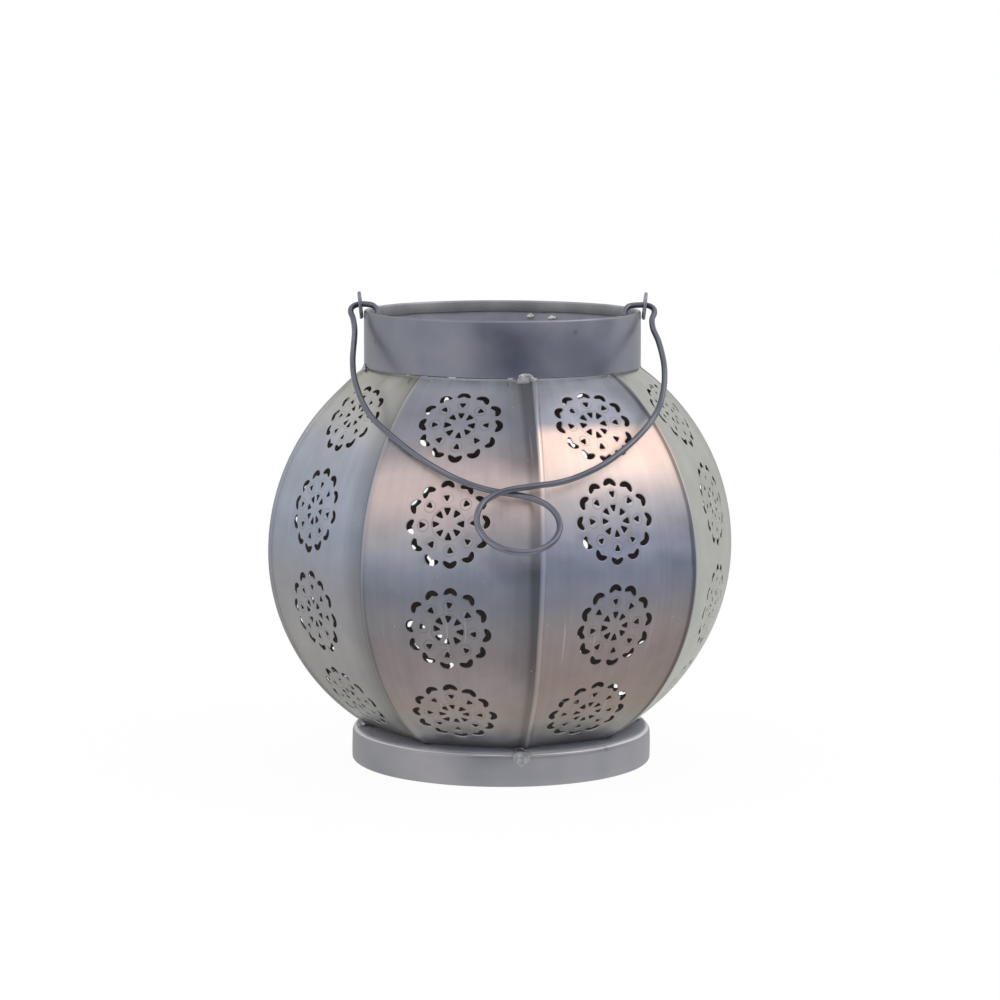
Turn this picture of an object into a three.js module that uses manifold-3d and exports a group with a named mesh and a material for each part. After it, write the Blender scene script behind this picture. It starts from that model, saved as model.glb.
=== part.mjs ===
// An iron lantern: a globe of pierced gores on a base pan, with a plain collar and a swinging wire bail.
// Sizes are in millimetres. The origin is the centre of the candle floor, +Z is up and -Y is the front.
import * as THREE from "three";
import { mergeVertices } from "three/addons/utils/BufferGeometryUtils.js";
import Module from "manifold-3d";

const wasm = await Module();
wasm.setup();

// Driving dimensions
const clearance = 0.3; // left between pieces that touch

const baseRadius = 70.9;
const baseHeight = 16;
const baseSheet = 0.8;
const baseCorner = 3.2; // outside radius of the bend from the top to the wall
const baseHem = 5; // height of the wall's edge, folded up inside

const collarRadius = 65;
const collarHeight = 26;
const collarSheet = 0.7;
const collarHem = 5.5; // height of the rim, folded down inside

const globeHeight = 170.8; // from the candle floor to the collar's lower edge
const equatorHeight = 84.1;
const equatorRadius = 110.6; // to the outside of the sheet, at a seam
const neckInset = 1.6; // how far the gores' top edges lie inside the collar's outside
const footInset = 8; // how far the gores' lower edges lie inside the base's outside
const neckRounding = 30; // length over which the flat gores turn round to meet the collar
const globeSheet = 0.6;
const goreCrown = 2.6; // swell of a gore's middle beyond its flat width, at the equator

const goreCount = 8;
const firstSeam = 7.4; // degrees from the front towards the right
const lastSeamSlip = 3.4; // degrees: the gores are cut by hand, and the last seam lies off its even place

const ribWidth = 4.4;
const ribProud = 1.3; // above the sheet
const ribDepth = 0.9; // below the sheet's outside

const rosettePitch = 47.2; // along the gore, from rosette to rosette
const rosettesPerGore = 4;
const rosetteRise = 1.4; // of the middle of the row above the equator, along the gore
const rosetteBreak = 4.2; // the sheet bends this far above and below a rosette's middle, clear of its holes
// Rings of three-cornered holes: the tip and the base are distances from the rosette's middle.
const rosetteRings = [
  { count: 12, tip: 19.5, base: 16, width: 5.8 },
  { count: 8, tip: 10.4, base: 13.1, width: 2.7 },
];

const earWidth = 10;
const earThickness = 1.4;
const earDrop = 3.8; // below the collar's rim
const earRise = 8.7; // above the collar's rim
const earLean = 6; // degrees outwards
const earPlay = 0.85; // round the wire in the ear's hole

const wireDiameter = 2.5;
const hingeRise = 2.6; // of the hinge axis above the collar's rim
const loopRadii = [18.1, 19.2]; // across and along, to the middle of the wire
const loopCentre = [7.1, 152.5];
const loopSkew = 0.07; // drop of the loop towards its right, per millimetre across
const loopStart = 24; // degrees round from the top of the loop, where the wire enters it
const loopPoints = 9;
const leftTail = 8.4; // how far inside its ear each end of the wire hangs
const rightTail = 9.8;
// The hand-bent wire in its own plane. The first number stands outwards from the end's drop (tailBend) or
// from the ear (the others), and the second runs away from the hinge.
const tailBend = [[0, 9], [0.4, 4.4], [2.6, 0.9]];
const earBend = [[-2.4, 0], [0, 0], [2.4, 0.9], [4, 2.9], [4.3, 5.8], [3.1, 10.6]];
const leftArm = [[2, 19.4], [2.1, 42.7], [0.5, 57.1], [-6.4, 79.2], [-19.5, 98.1], [-33.2, 113.1]];
const leftCrossing = [[-47, 123.4], [-59.2, 129]];
const rightArm = [
  [3.3, 17.4], [5.6, 27.3], [7.6, 46.6], [6.1, 66.1], [2.4, 79.7], [-6.1, 95.2], [-21, 113.2], [-34.5, 123],
];
const rightCrossing = [[-43.4, 127.5], [-52.2, 130.2]];

const weldSpan = 9.4; // along the collar's edge
const weldRise = 5.2;
const weldSwell = 2.1; // how far a bead stands off the seam
const dripRise = 8.6; // height of the beads that run down over the base's edge

const latheSteps = 40; // sides of the round pieces
const wireSides = 8;
const beadSides = 10;
const wireSteps = 132;
const restSamples = 400; // points of the wire tried against the globe
const restStep = 0.1; // degrees
const ribSteps = 12;
const ribSides = 8;
const goreColumns = 3;
const cornerSteps = 3;
const mergeReach = 0.0001; // corners closer than this are one

// Places that follow from the dimensions
const radians = THREE.MathUtils.degToRad;
const rimHeight = globeHeight + collarHeight;
const hingeHeight = rimHeight + hingeRise;
const neckRadius = collarRadius - neckInset;
const footRadius = baseRadius - footInset;
const neckHeight = globeHeight - clearance;
const earTilt = radians(earLean);
const earOffset = (earDrop + hingeRise) * Math.tan(earTilt) + earThickness / (2 * Math.cos(earTilt));
const earMiddle = collarRadius + clearance + earOffset; // of the ear's sheet, on the hinge axis
const seamAngles = Array.from({ length: goreCount }, (_, i) => {
  const slip = i === goreCount - 1 ? lastSeamSlip : 0;
  return radians(firstSeam + (i * 360) / goreCount + slip);
});

// The globe's side is two arcs that share an upright tangent at the equator.
const arcRadius = (endRadius, rise) => {
  const inset = equatorRadius - endRadius;
  return (inset * inset + rise * rise) / (2 * inset);
};
const upperArc = arcRadius(neckRadius, neckHeight - equatorHeight);
const lowerArc = arcRadius(footRadius, equatorHeight - clearance);
const neckReach = upperArc * Math.asin((neckHeight - equatorHeight) / upperArc);
const footReach = -lowerArc * Math.asin((equatorHeight - clearance) / lowerArc);

// A point of the side at a seam. reach runs along the side from the equator, offset stands off the sheet.
function sidePoint(reach, offset) {
  const arc = reach > 0 ? upperArc : lowerArc;
  const slope = reach / arc;
  return {
    radius: equatorRadius - arc + (arc + offset) * Math.cos(slope),
    height: equatorHeight + (arc + offset) * Math.sin(slope),
    slope,
  };
}

// Solids and booleans
function toSolid(geometry) {
  const plain = geometry.clone();
  plain.deleteAttribute("normal");
  plain.deleteAttribute("uv");
  const merged = mergeVertices(plain, mergeReach);
  const mesh = new wasm.Mesh({
    numProp: 3,
    vertProperties: new Float32Array(merged.attributes.position.array),
    triVerts: new Uint32Array(merged.index.array),
  });
  return new wasm.Manifold(mesh);
}

function toGeometry(solid) {
  const mesh = solid.getMesh();
  return meshGeometry(mesh.vertProperties, mesh.triVerts);
}

function meshGeometry(coordinates, triangles) {
  const geometry = new THREE.BufferGeometry();
  geometry.setAttribute("position", new THREE.BufferAttribute(new Float32Array(coordinates), 3));
  geometry.setIndex(new THREE.BufferAttribute(new Uint32Array(triangles), 1));
  geometry.computeVertexNormals();
  return geometry;
}

// A turned piece: the outline is [radius, height] pairs, running up the outside.
function turned(outline) {
  const points = outline.map(([radius, height]) => new THREE.Vector2(radius, height));
  return new THREE.LatheGeometry(points, latheSteps).rotateX(Math.PI / 2);
}

function bend(centreRadius, centreHeight, radius, from, to) {
  return Array.from({ length: cornerSteps + 1 }, (_, i) => {
    const angle = radians(from + ((to - from) * i) / cornerSteps);
    return [centreRadius + radius * Math.cos(angle), centreHeight + radius * Math.sin(angle)];
  });
}

// The base pan: a pressed disc with its wall turned down and hemmed
function basePan() {
  const bendRadius = baseRadius - baseCorner;
  const hemInside = baseRadius - 2 * baseSheet;
  const floorRadius = footRadius * Math.cos(Math.PI / goreCount) - 2 * clearance - globeSheet;
  return turned([
    [0, -baseSheet],
    ...bend(bendRadius, -baseCorner, baseCorner - baseSheet, 90, 0),
    [baseRadius - baseSheet, baseHem - baseHeight],
    [hemInside, baseHem - baseHeight],
    [hemInside, -baseHeight],
    [baseRadius, -baseHeight],
    ...bend(bendRadius, -baseCorner, baseCorner, 0, 90),
    [floorRadius, 0],
    [0, 0],
  ]);
}

// The collar: a sheet ring with its rim hemmed inwards
function collar() {
  const inside = collarRadius - collarSheet;
  const hemInside = inside - collarSheet;
  return turned([
    [collarRadius, globeHeight],
    [collarRadius, rimHeight],
    [hemInside, rimHeight],
    [hemInside, rimHeight - collarHem],
    [inside, rimHeight - collarHem],
    [inside, globeHeight],
    [collarRadius, globeHeight],
  ]);
}

// Half of a gore's width between the ribs
const goreEdge = ribWidth / 2 + clearance;
function goreHalfWidth(halfAngle, reach) {
  return sidePoint(reach, 0).radius * Math.sin(halfAngle) - goreEdge / Math.cos(halfAngle);
}

// The swell of a gore beyond its flat width
function goreSwell(across, reach) {
  const end = reach > 0 ? neckReach : footReach;
  return goreCrown * (1 - across ** 2) * (1 - (reach / end) ** 2);
}

// A gore. Its middle faces -Y, across runs from -1 to 1 between its edges, and depth goes into the sheet.
function gorePoint(halfAngle, across, reach, depth) {
  const { radius, height, slope } = sidePoint(reach, 0);
  const turn = across * (halfAngle - goreEdge / radius);
  const round = THREE.MathUtils.smoothstep(reach, neckReach - neckRounding, neckReach);
  const flatX = across * goreHalfWidth(halfAngle, reach);
  const x = THREE.MathUtils.lerp(flatX, radius * Math.sin(turn), round);
  const y = THREE.MathUtils.lerp(radius * Math.cos(halfAngle), radius * Math.cos(turn), round);
  const sunk = depth - goreSwell(across, reach);
  return [x, -(y - sunk * Math.cos(slope)), height - sunk * Math.sin(slope)];
}

const rosetteReaches = Array.from({ length: rosettesPerGore }, (_, i) => {
  return rosetteRise + (i - (rosettesPerGore - 1) / 2) * rosettePitch;
});

function goreBends() {
  const marks = rosetteReaches.flatMap((reach) => {
    return [reach - rosettePitch / 2, reach - rosetteBreak, reach + rosetteBreak];
  });
  marks.push(marks.at(-1) + rosettePitch / 2 - rosetteBreak);
  const inside = marks.filter((reach) => reach > footReach + globeSheet && reach < neckReach - globeSheet);
  return [footReach, ...inside, neckReach];
}

function goreSheet(halfAngle) {
  const coordinates = [];
  const triangles = [];
  const bends = goreBends();
  const goreRows = bends.length - 1;
  const perRow = goreColumns + 1;
  const perFace = (goreRows + 1) * perRow;
  for (const depth of [0, globeSheet]) {
    for (const reach of bends) {
      for (let column = 0; column <= goreColumns; column += 1) {
        coordinates.push(...gorePoint(halfAngle, (2 * column) / goreColumns - 1, reach, depth));
      }
    }
  }
  const quad = (a, b, c, d) => triangles.push(a, b, c, a, c, d);
  for (let row = 0; row < goreRows; row += 1) {
    for (let column = 0; column < goreColumns; column += 1) {
      const at = row * perRow + column;
      quad(at, at + 1, at + perRow + 1, at + perRow);
      quad(at + perFace, at + perFace + perRow, at + perFace + perRow + 1, at + perFace + 1);
    }
    const left = row * perRow;
    const right = left + goreColumns;
    quad(left, left + perRow, left + perRow + perFace, left + perFace);
    quad(right, right + perFace, right + perRow + perFace, right + perRow);
  }
  for (let column = 0; column < goreColumns; column += 1) {
    const top = goreRows * perRow + column;
    quad(column, column + perFace, column + perFace + 1, column + 1);
    quad(top, top + 1, top + perFace + 1, top + perFace);
  }
  return toSolid(meshGeometry(coordinates, triangles));
}

// The rosette holes of a gore: prisms that run straight through the sheet
function rosetteHoles(halfAngle) {
  const coordinates = [];
  const triangles = [];
  const quad = (a, b, c, d) => triangles.push(a, b, c, a, c, d);
  for (const rosetteReach of rosetteReaches) {
    for (const { count, tip, base, width } of rosetteRings) {
      const side = (Math.sign(tip - base) * width) / 2;
      for (let hole = 0; hole < count; hole += 1) {
        const angle = (hole * 2 * Math.PI) / count;
        const corners = [[-side, base], [side, base], [0, tip]].map(([off, radius]) => {
          const across = radius * Math.sin(angle) + off * Math.cos(angle);
          const reach = rosetteReach + radius * Math.cos(angle) - off * Math.sin(angle);
          return gorePoint(halfAngle, across / goreHalfWidth(halfAngle, reach), reach, 0);
        });
        const { slope } = sidePoint(rosetteReach + base * Math.cos(angle), 0);
        const at = coordinates.length / 3;
        for (const depth of [-globeSheet, 3 * globeSheet]) {
          for (const [x, y, z] of corners) {
            coordinates.push(x, y + depth * Math.cos(slope), z - depth * Math.sin(slope));
          }
        }
        triangles.push(at, at + 1, at + 2, at + 3, at + 5, at + 4);
        quad(at, at + 3, at + 4, at + 1);
        quad(at + 1, at + 4, at + 5, at + 2);
        quad(at + 2, at + 5, at + 3, at);
      }
    }
  }
  return toSolid(meshGeometry(coordinates, triangles));
}

function goreGeometry(halfAngle) {
  return toGeometry(goreSheet(halfAngle).subtract(rosetteHoles(halfAngle)));
}

// A seam rib: a half-round strip along the joint of two gores, cut level at both ends
class SeamCurve extends THREE.Curve {
  getPoint(t, target = new THREE.Vector3()) {
    const reach = THREE.MathUtils.lerp(footReach - ribWidth, neckReach + ribWidth, t);
    const { radius, height } = sidePoint(reach, 0);
    return target.set(0, -radius, height);
  }
}

function seamRib() {
  const outline = Array.from({ length: ribSides }, (_, i) => {
    const angle = (i * 2 * Math.PI) / ribSides;
    const rise = angle < Math.PI ? ribProud : ribDepth;
    return new THREE.Vector2((ribWidth / 2) * Math.cos(angle), rise * Math.sin(angle));
  });
  const section = new THREE.Shape(outline);
  const strip = new THREE.ExtrudeGeometry(section, { steps: ribSteps, extrudePath: new SeamCurve() });
  const span = neckHeight - clearance;
  const level = new THREE.BoxGeometry(4 * equatorRadius, 4 * equatorRadius, span);
  level.translate(0, 0, clearance + span / 2);
  return toGeometry(toSolid(strip).intersect(toSolid(level)));
}

// Weld beads: rounded drops, cut to lie on the outside of the lantern
function outsideEnvelope() {
  const sideSteps = 4 * ribSteps;
  const top = globeHeight - clearance;
  const side = Array.from({ length: sideSteps + 1 }, (_, i) => {
    const reach = THREE.MathUtils.lerp(footReach, neckReach, i / sideSteps);
    return sidePoint(reach, ribProud + clearance);
  }).filter(({ height }) => height > 2 * clearance && height < top - clearance);
  return toSolid(
    turned([
      [0, -baseHeight],
      [baseRadius + clearance, -baseHeight],
      ...bend(baseRadius - baseCorner, -baseCorner, baseCorner + clearance, 0, 90),
      ...side.map(({ radius, height }) => [radius, height]),
      [collarRadius + clearance, top],
      [collarRadius + clearance, rimHeight],
      [0, rimHeight],
    ]),
  );
}

function weldBead(envelope, centreRadius, centreHeight, rise) {
  const drop = new THREE.SphereGeometry(1, beadSides, beadSides / 2);
  drop.rotateX(Math.PI / 2);
  drop.scale(weldSpan / 2, weldSwell + ribProud, rise / 2);
  drop.translate(0, -centreRadius, centreHeight);
  return toGeometry(toSolid(drop).subtract(envelope));
}

// An ear: an upright tab with a round top and a hole for the bail's wire
function ear() {
  const height = earDrop + earRise;
  const crown = earWidth / 2;
  const holeHeight = (earDrop + hingeRise + (earThickness / 2) * Math.sin(earTilt)) / Math.cos(earTilt);
  const outline = new THREE.Shape();
  outline.moveTo(-crown, 0);
  outline.lineTo(crown, 0);
  outline.lineTo(crown, height - crown);
  outline.absarc(0, height - crown, crown, 0, Math.PI, false);
  outline.closePath();
  const hole = new THREE.Path();
  hole.absarc(0, holeHeight, wireDiameter / 2 + earPlay, 0, 2 * Math.PI, true);
  outline.holes.push(hole);
  const tab = new THREE.ExtrudeGeometry(outline, {
    depth: earThickness,
    bevelEnabled: false,
    curveSegments: wireSides,
  });
  const sideways = new THREE.Matrix4().makeBasis(
    new THREE.Vector3(0, 1, 0),
    new THREE.Vector3(0, 0, 1),
    new THREE.Vector3(1, 0, 0),
  );
  return tab.applyMatrix4(sideways);
}

// The bail hanging straight down from its hinge. Its lift stands off its plane, away from the globe, and
// keeps the two strands apart where they cross at the loop.
function bailCurve() {
  const strandLift = wireDiameter / 2 + clearance;
  const wire = (side, tail, arm, crossing) => [
    ...tailBend.map(([out, along]) => [side * (earMiddle - tail + out), along, 0]),
    ...[...earBend, ...arm].map(([out, along]) => [side * (earMiddle + out), along, 0]),
    ...crossing.map(([out, along], i) => {
      return [side * (earMiddle + out), along, (side * strandLift * (i + 1)) / crossing.length];
    }),
  ];
  const loop = Array.from({ length: loopPoints + 1 }, (_, i) => {
    const share = i / loopPoints;
    const angle = radians(THREE.MathUtils.lerp(loopStart, 360 - loopStart, share));
    const across = loopRadii[0] * Math.sin(angle);
    const along = loopCentre[1] + loopSkew * across - loopRadii[1] * Math.cos(angle);
    return [loopCentre[0] + across, along, THREE.MathUtils.lerp(-strandLift, strandLift, share)];
  });
  const left = wire(-1, leftTail, leftArm, leftCrossing);
  const right = wire(1, rightTail, rightArm, rightCrossing);
  const run = [...left, ...loop, ...right.reverse()];
  const points = run.map(([across, along, lift]) => new THREE.Vector3(across, -lift, -along));
  return new THREE.CatmullRomCurve3(points);
}

// The outside of the globe in one direction at one height: a rib near a seam, and a gore elsewhere
function globeRadius(azimuth, height) {
  const arc = height > equatorHeight ? upperArc : lowerArc;
  const slope = Math.asin((height - equatorHeight) / arc);
  const seamRadius = equatorRadius - arc + arc * Math.cos(slope);
  const turns = seamAngles.map((angle) => THREE.MathUtils.euclideanModulo(azimuth - angle, 2 * Math.PI));
  const past = Math.min(...turns);
  const before = 2 * Math.PI - Math.max(...turns);
  const half = (past + before) / 2;
  const swell = goreSwell(Math.tan(past - half) / Math.tan(half), slope * arc) / Math.cos(slope);
  const gore = (seamRadius * Math.cos(half) + swell) / Math.cos(past - half);
  const offSeam = (2 * seamRadius * Math.min(past, before)) / ribWidth;
  const rib = offSeam < 1 ? seamRadius + (ribProud * Math.sqrt(1 - offSeam ** 2)) / Math.cos(slope) : 0;
  return { radius: Math.max(gore, rib), slope };
}

// The bail rests on the globe, so it leans forward as little as the gores and ribs allow.
function restingLean(curve) {
  const points = curve.getSpacedPoints(restSamples).filter((point) => Math.abs(point.x) < earMiddle);
  const clears = (lean) => points.every((point) => {
    const { x, y, z } = point.clone().applyAxisAngle(new THREE.Vector3(1, 0, 0), -lean);
    const height = z + hingeHeight;
    if (height > neckHeight || height < clearance) {
      return true;
    }
    const { radius, slope } = globeRadius(Math.atan2(x, -y), height);
    return (Math.hypot(x, y) - radius) * Math.cos(slope) > wireDiameter / 2 + clearance;
  });
  let lean = 0;
  while (!clears(lean) && lean < Math.PI) {
    lean += radians(restStep);
  }
  return lean;
}

function bailWire(curve) {
  const section = new THREE.Shape();
  section.absarc(0, 0, wireDiameter / 2, 0, 2 * Math.PI, false);
  return new THREE.ExtrudeGeometry(section, {
    steps: wireSteps,
    curveSegments: wireSides / 2,
    extrudePath: curve,
  });
}

// Finishes
const iron = (color, roughness) => new THREE.MeshStandardMaterial({ color, roughness, metalness: 0.9 });
const tintedSheet = () => iron(0x8c8a8f, 0.38);
const greySheet = () => iron(0x7c7c86, 0.42);
const drawnWire = () => iron(0x6b6d78, 0.4);
const weldMetal = () => iron(0x9a9d9b, 0.5);

// Assembly
const lantern = new THREE.Group();

function place(name, geometry, material, parent = lantern) {
  const mesh = new THREE.Mesh(geometry, material);
  mesh.name = name;
  parent.add(mesh);
  return mesh;
}

place("base_pan", basePan(), greySheet());
place("collar", collar(), greySheet());

const rib = seamRib();
const envelope = outsideEnvelope();
const topBead = weldBead(envelope, collarRadius + ribProud / 2, globeHeight, weldRise);
const footBead = weldBead(envelope, baseRadius - baseCorner / 2, -baseCorner / 2, dripRise);
seamAngles.forEach((angle, i) => {
  const following = i + 1 < goreCount ? seamAngles[i + 1] : seamAngles[0] + 2 * Math.PI;
  const gore = place(`gore_panel_${i + 1}`, goreGeometry((following - angle) / 2), tintedSheet());
  gore.rotation.z = (angle + following) / 2;
  place(`seam_rib_${i + 1}`, rib, tintedSheet()).rotation.z = angle;
  if (i % 2 === 0) {
    place(`weld_top_${i / 2 + 1}`, topBead, weldMetal()).rotation.z = angle;
    place(`weld_bottom_${i / 2 + 1}`, footBead, weldMetal()).rotation.z = angle;
  }
});

const earTab = ear();
for (const [name, turn] of [["ear_right", 0], ["ear_left", Math.PI]]) {
  const side = new THREE.Group();
  side.rotation.z = turn;
  lantern.add(side);
  const tab = place(name, earTab, greySheet(), side);
  tab.position.set(collarRadius + clearance, 0, rimHeight - earDrop);
  tab.rotation.y = earTilt;
}

const bail = new THREE.Group();
bail.position.z = hingeHeight;
lantern.add(bail);
const wirePath = bailCurve();
bail.rotation.x = -restingLean(wirePath);
place("bail_handle", bailWire(wirePath), drawnWire(), bail);

export default lantern;
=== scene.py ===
import math
import random
from functools import partial

import bmesh
import bpy
from mathutils import Matrix, Vector, noise
from mathutils.geometry import delaunay_2d_cdt


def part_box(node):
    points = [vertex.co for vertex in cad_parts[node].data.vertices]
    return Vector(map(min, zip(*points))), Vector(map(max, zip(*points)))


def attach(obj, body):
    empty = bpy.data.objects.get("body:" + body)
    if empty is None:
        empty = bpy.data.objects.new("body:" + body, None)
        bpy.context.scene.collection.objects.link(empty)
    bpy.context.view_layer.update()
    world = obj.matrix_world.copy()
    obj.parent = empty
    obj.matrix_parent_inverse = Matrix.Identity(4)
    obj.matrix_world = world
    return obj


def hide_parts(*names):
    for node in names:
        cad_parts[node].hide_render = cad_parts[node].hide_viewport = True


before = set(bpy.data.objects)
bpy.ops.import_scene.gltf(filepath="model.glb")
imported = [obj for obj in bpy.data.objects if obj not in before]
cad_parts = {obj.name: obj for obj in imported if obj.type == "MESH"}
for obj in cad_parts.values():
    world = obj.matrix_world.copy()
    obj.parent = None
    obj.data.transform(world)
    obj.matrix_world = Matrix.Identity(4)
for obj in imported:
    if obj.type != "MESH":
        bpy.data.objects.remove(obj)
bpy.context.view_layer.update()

scene = bpy.context.scene
mm = 0.001
print("frame loaded:", len(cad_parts), "nodes")


# Small helpers for all pieces

def linear(hexColour):
    # sRGB hex to the linear colour that the shader sockets take
    steps = [int(hexColour[i:i + 2], 16) / 255 for i in (1, 3, 5)]
    return [c / 12.92 if c <= 0.04045 else ((c + 0.055) / 1.055) ** 2.4 for c in steps] + [1.0]


def addNode(tree, kind, inputs=(), stops=(), **settings):
    # inputs in their order, or a dictionary by number or name; a node given there stands for its first output
    node = tree.nodes.new("ShaderNode" + kind)
    for name, value in settings.items():
        setattr(node, name, value)
    for i, (place, colour) in enumerate(stops):
        elements = node.color_ramp.elements
        if i == 0:
            elements.remove(elements[1])
            elements[0].position = place
        element = elements[0] if i == 0 else elements.new(place)
        element.color = linear(colour)
    sockets = inputs if isinstance(inputs, dict) else dict(enumerate(inputs))
    for socket, value in sockets.items():
        if isinstance(value, bpy.types.Node):
            value = value.outputs[0]
        if isinstance(value, bpy.types.NodeSocket):
            tree.links.new(value, node.inputs[socket])
        else:
            node.inputs[socket].default_value = value
    return node


def newMaterial(name):
    material = bpy.data.materials.new(name)
    material.use_nodes = True
    material.node_tree.nodes.clear()
    return material, partial(addNode, material.node_tree)


def closeMaterial(add, **sockets):
    inputs = {name.replace("_", " "): value for name, value in sockets.items()}
    shader = add("BsdfPrincipled", inputs)
    add("OutputMaterial", [shader])


def lerp(a, b, share):
    return a + (b - a) * share


def smoothstep(low, high, value):
    share = min(max((value - low) / (high - low), 0), 1)
    return share * share * (3 - 2 * share)


def wave(size, *place):
    # soft noise from -1 to 1 that changes over about size mm; a far place gives a piece its own stretch of it
    return noise.noise(Vector(place) / size)


def arcPoints(centre, radius, start, end, count):
    angles = [math.radians(lerp(start, end, i / count)) for i in range(count + 1)]
    return [(centre[0] + radius * math.cos(a), centre[1] + radius * math.sin(a)) for a in angles]


def meshPiece(name, points, faces, materials, slots=None):
    # points in mm; the faces are turned outwards, and slots gives single ones another of the materials
    mesh = bpy.data.meshes.new(name)
    mesh.from_pydata([[c * mm for c in p] for p in points], [], faces)
    for material in materials:
        mesh.materials.append(material)
    for i, slot in (slots or {}).items():
        mesh.polygons[i].material_index = slot
    work = bmesh.new()
    work.from_mesh(mesh)
    bmesh.ops.recalc_face_normals(work, faces=work.faces)
    work.to_mesh(mesh)
    work.free()
    mesh.shade_smooth()
    piece = bpy.data.objects.new(name, mesh)
    scene.collection.objects.link(piece)
    return piece


def standFor(piece, body, slot, *nodes):
    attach(piece, body)
    if nodes:
        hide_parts(*nodes)


def giveAttributes(piece, **attributes):
    # a vector for each point of the piece, under each name
    for name, vectors in attributes.items():
        layer = piece.data.attributes.new(name, "FLOAT_VECTOR", "POINT")
        layer.data.foreach_set("vector", [c for vector in vectors for c in vector])


def ringFaces(low, high):
    # the faces between two closed rings of point numbers
    count = len(low)
    return [[low[k], low[(k + 1) % count], high[(k + 1) % count], high[k]] for k in range(count)]


def turnedPiece(name, profile, steps, shape, materials, bands):
    # a closed profile of (radius, height) turned round Z; shape(angle, radius, height, i) moves each point,
    # and bands gives the material of the bands that start at single points of the profile
    points = []
    rings = []
    for i, (radius, height) in enumerate(profile):
        if radius == 0:
            rings.append([len(points)] * steps)
            points.append((0, 0, height))
            continue
        rings.append(range(len(points), len(points) + steps))
        for k in range(steps):
            angle = 2 * math.pi * k / steps
            r, z = shape(angle, radius, height, i)
            points.append((r * math.sin(angle), -r * math.cos(angle), z))
    faces = []
    slots = {}
    for i, (low, high) in enumerate(zip(rings, rings[1:] + rings[:1])):
        for face in ringFaces(low, high):
            corners = list(dict.fromkeys(face))
            if len(corners) > 2:
                slots[len(faces)] = bands.get(i, 0)
                faces.append(corners)
    return meshPiece(name, points, faces, materials, slots)


def sweptPiece(name, rings, materials, inner=(), endless=False):
    # closed rings of points, one after the other, joined into a solid, if endless the last to the first; the
    # faces that start at the inner points of the rings have the second material
    points = [point for ring in rings for point in ring]
    count = len(rings[0])
    numbers = [range(i, i + count) for i in range(0, len(points), count)]
    ends = [] if endless else [list(numbers[0]), list(numbers[-1])]
    sides = []
    for low, high in zip(numbers, numbers[1:] + (numbers[:1] if endless else [])):
        sides += ringFaces(low, high)
    slots = {len(ends) + i: 1 for i in range(len(sides)) if i % count in inner}
    return meshPiece(name, points, ends + sides, materials, slots)


# Camera at the photograph's viewing angle, about 1.6 m from the lantern

view = {"lens": 121.56, "sensor": 36, "place": (-0.9, -1581.45, 317.12), "pitch": 7.57, "roll": 0.19}


def makeCamera():
    data = bpy.data.cameras.new("photo_view")
    data.lens = view["lens"]
    data.sensor_width = view["sensor"]
    camera = bpy.data.objects.new("photo_view", data)
    turn = Matrix.Rotation(math.radians(90 - view["pitch"]), 4, "X")
    roll = Matrix.Rotation(math.radians(view["roll"]), 4, "Z")
    camera.matrix_world = Matrix.Translation(Vector(view["place"]) * mm) @ turn @ roll
    scene.collection.objects.link(camera)
    scene.camera = camera


makeCamera()
print("camera placed")


# Materials

gloss = {"sheet": 0.4, "collar": 0.36, "base": 0.42, "wire": 0.36, "weld": 0.45, "edgeTint": "#dddeda"}

# Rosettes of punched holes, four to each gore. The lip is a hole's round edge, as (out from the hole, depth);
# slips are by gore and place in its row.
rosettes = {
    "pitch": 47.2, "count": 4, "rise": 1.4, "turnSlack": 6, "placeSlack": 0.35, "holeTurn": 6,
    "grow": (0.93, 1.06),
    "petal": {"count": 12, "tip": 19.5, "back": 3.3, "sweep": 78, "end": 0.8, "endTurn": 30, "band": 2.45,
              "notch": (0.35, 0.25), "middle": 17.6},
    "drop": {"count": 8, "middle": 11.6, "width": 2.7, "depth": 2.7, "corner": 0.5},
    "wedge": {"count": 8, "middle": 5.3, "width": 2.9, "depth": 3.2, "corner": 0.5},
    "slips": {(8, 0): (-2.2, 0), (1, 0): (-1.3, -0.8), (1, 3): (1.1, -0.5)},
    "lip": [(0.16, 0.03), (0, 0.14)], "burr": 0.02, "support": 0.5,
    "scribed": {"big": 7.6, "bigLine": 0.2, "small": 2.6, "smallLine": 0.22},
}

# Tints along the gores, partly heat tint and partly painted reflections of the surroundings, as (mm along
# the sheet from the equator, colour): the front left, the warmer front right with a painted highlight, and
# the sides
tints = {
    "low": -105, "high": 105, "wander": 12, "wanderSize": 38, "pale": "#b7b8b3",
    "front": [(-92, "#b0b0b4"), (-82, "#9f9996"), (-67, "#968b83"), (-51, "#8d8485"), (-35, "#847b7d"),
              (-21, "#828085"), (-8, "#7a7e88"), (3, "#898f9b"), (12, "#a3a5ae"), (24, "#b7adb0"),
              (35, "#cab8b5"), (46, "#c0b0ae"), (57, "#979095"), (68, "#8a8b95"), (78, "#868791"),
              (90, "#8d8f98"), (101, "#a3a6ae")],
    "warm": [(-92, "#b0b0b4"), (-82, "#98948f"), (-67, "#948880"), (-51, "#8c7f7b"), (-35, "#8a7f7c"),
             (-21, "#8c8384"), (-8, "#81828c"), (3, "#888e9e"), (12, "#a3a7b9"), (24, "#b0aeb7"),
             (35, "#bcb4b8"), (40, "#cfbfbc"), (46, "#dac7bf"), (57, "#d6bcb0"), (67, "#d4bcb2"),
             (73, "#8b8d97"), (79, "#858790"), (90, "#898b95"), (101, "#a3a6ae")],
    "side": [(-92, "#a2a2a1"), (-75, "#8d8c8a"), (-57, "#918f8d"), (-40, "#979594"), (-12, "#939298"),
             (2, "#9396a0"), (15, "#949ba9"), (28, "#a0a6b4"), (41, "#9da3af"), (55, "#a4a7b2"),
             (68, "#b2b2b3"), (83, "#b0afab"), (96, "#abaaa2")],
}

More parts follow.
